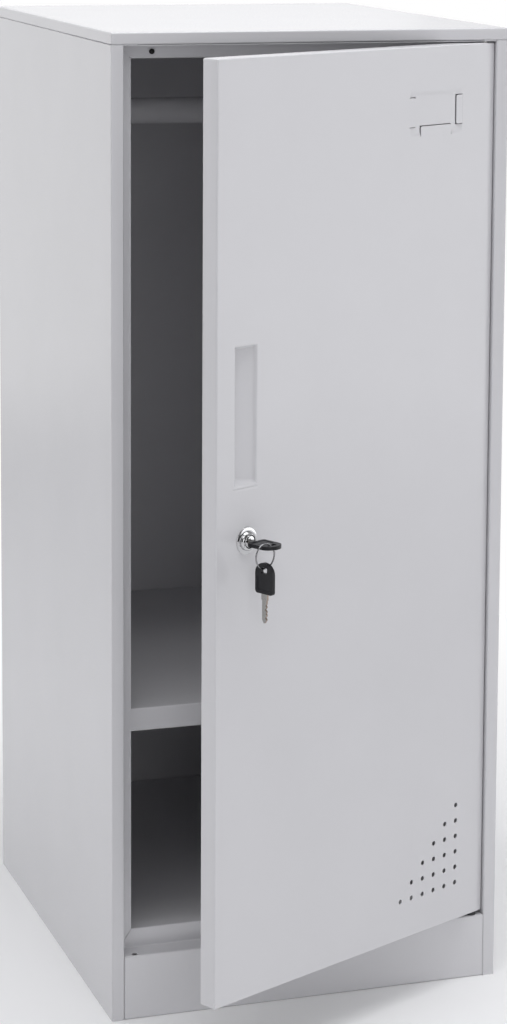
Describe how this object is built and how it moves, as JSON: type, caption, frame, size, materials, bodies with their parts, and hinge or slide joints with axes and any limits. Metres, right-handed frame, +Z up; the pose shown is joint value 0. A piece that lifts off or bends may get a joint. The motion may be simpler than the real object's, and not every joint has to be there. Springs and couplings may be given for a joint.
{
  "type": "metal locker",
  "caption": "Upright sheet-steel locker with a pivoting door that has a pressed finger pull, card pocket, vents and a cam lock, over a shelf and a hanging rail.",
  "frame": {"origin": "on the floor, under the middle of the whole object with its door ajar", "axes": "+Z up, -Y out of the front, +X to the right as seen from the front, towards the hinge"},
  "size_m": [0.375, 0.6208, 0.9],
  "materials": {
    "paint": "light grey powder coat, satin",
    "steel": "zinc-plated steel",
    "chrome": "bright chrome plate",
    "rubber": "matt black rubber",
    "nylon": "black nylon",
    "black_plastic": "moulded black plastic, satin"
  },
  "bodies": {
    "cabinet": {"side_panel_left": "paint", "side_panel_right": "paint", "back_panel": "paint", "top_panel": "paint", "top_rail": "paint", "base_rail": "paint", "floor_panel": "paint", "shelf": "paint", "shelf_runner_left": "paint", "shelf_runner_right": "paint", "hanging_rail": "paint", "rail_socket_left": "steel", "rail_socket_right": "steel", "door_buffer": "rubber", "hinge_washer": "nylon"},
    "door": {"door_panel": "paint", "door_stiffener": "paint", "hinge_bracket_lower": "steel", "hinge_bracket_upper": "steel", "hinge_pin_lower": "steel", "hinge_pin_upper": "steel", "lock_body": "chrome", "lock_nut": "steel"},
    "lock": {"lock_plug": "chrome", "lock_cam": "steel", "cam_screw": "steel", "key_blade": "steel", "key_bow": "black_plastic"},
    "ring": {"key_ring": "chrome"},
    "spare_key": {"spare_key_blade": "steel", "spare_key_bow": "black_plastic"}
  },
  "joints": [
    {"name": "door_hinge", "type": "hinge", "parent": "cabinet", "child": "door", "pos_m": [0.165, -0.13206, 0.45], "axis": [0, 0, 1], "range_deg": [-26.7, 83.3]},
    {"name": "lock_turn", "type": "hinge", "parent": "door", "child": "lock", "pos_m": [-0.10412, -0.27245, 0.47295], "axis": [0.4493, -0.8934, 0], "range_deg": [0, 90]},
    {"name": "key_ring_swing", "type": "hinge", "parent": "lock", "child": "ring", "pos_m": [-0.09644, -0.30206, 0.4723], "axis": [0.4493, -0.8934, 0], "range_deg": [-90, 0]},
    {"name": "spare_key_swing", "type": "hinge", "parent": "ring", "child": "spare_key", "pos_m": [-0.09703, -0.30235, 0.45499], "axis": [0.8934, 0.4493, 0], "range_deg": [-12, 12]}
  ],
  "couplings": [
    {"joint": "key_ring_swing", "follows": "lock_turn", "ratio": -1}
  ]
}
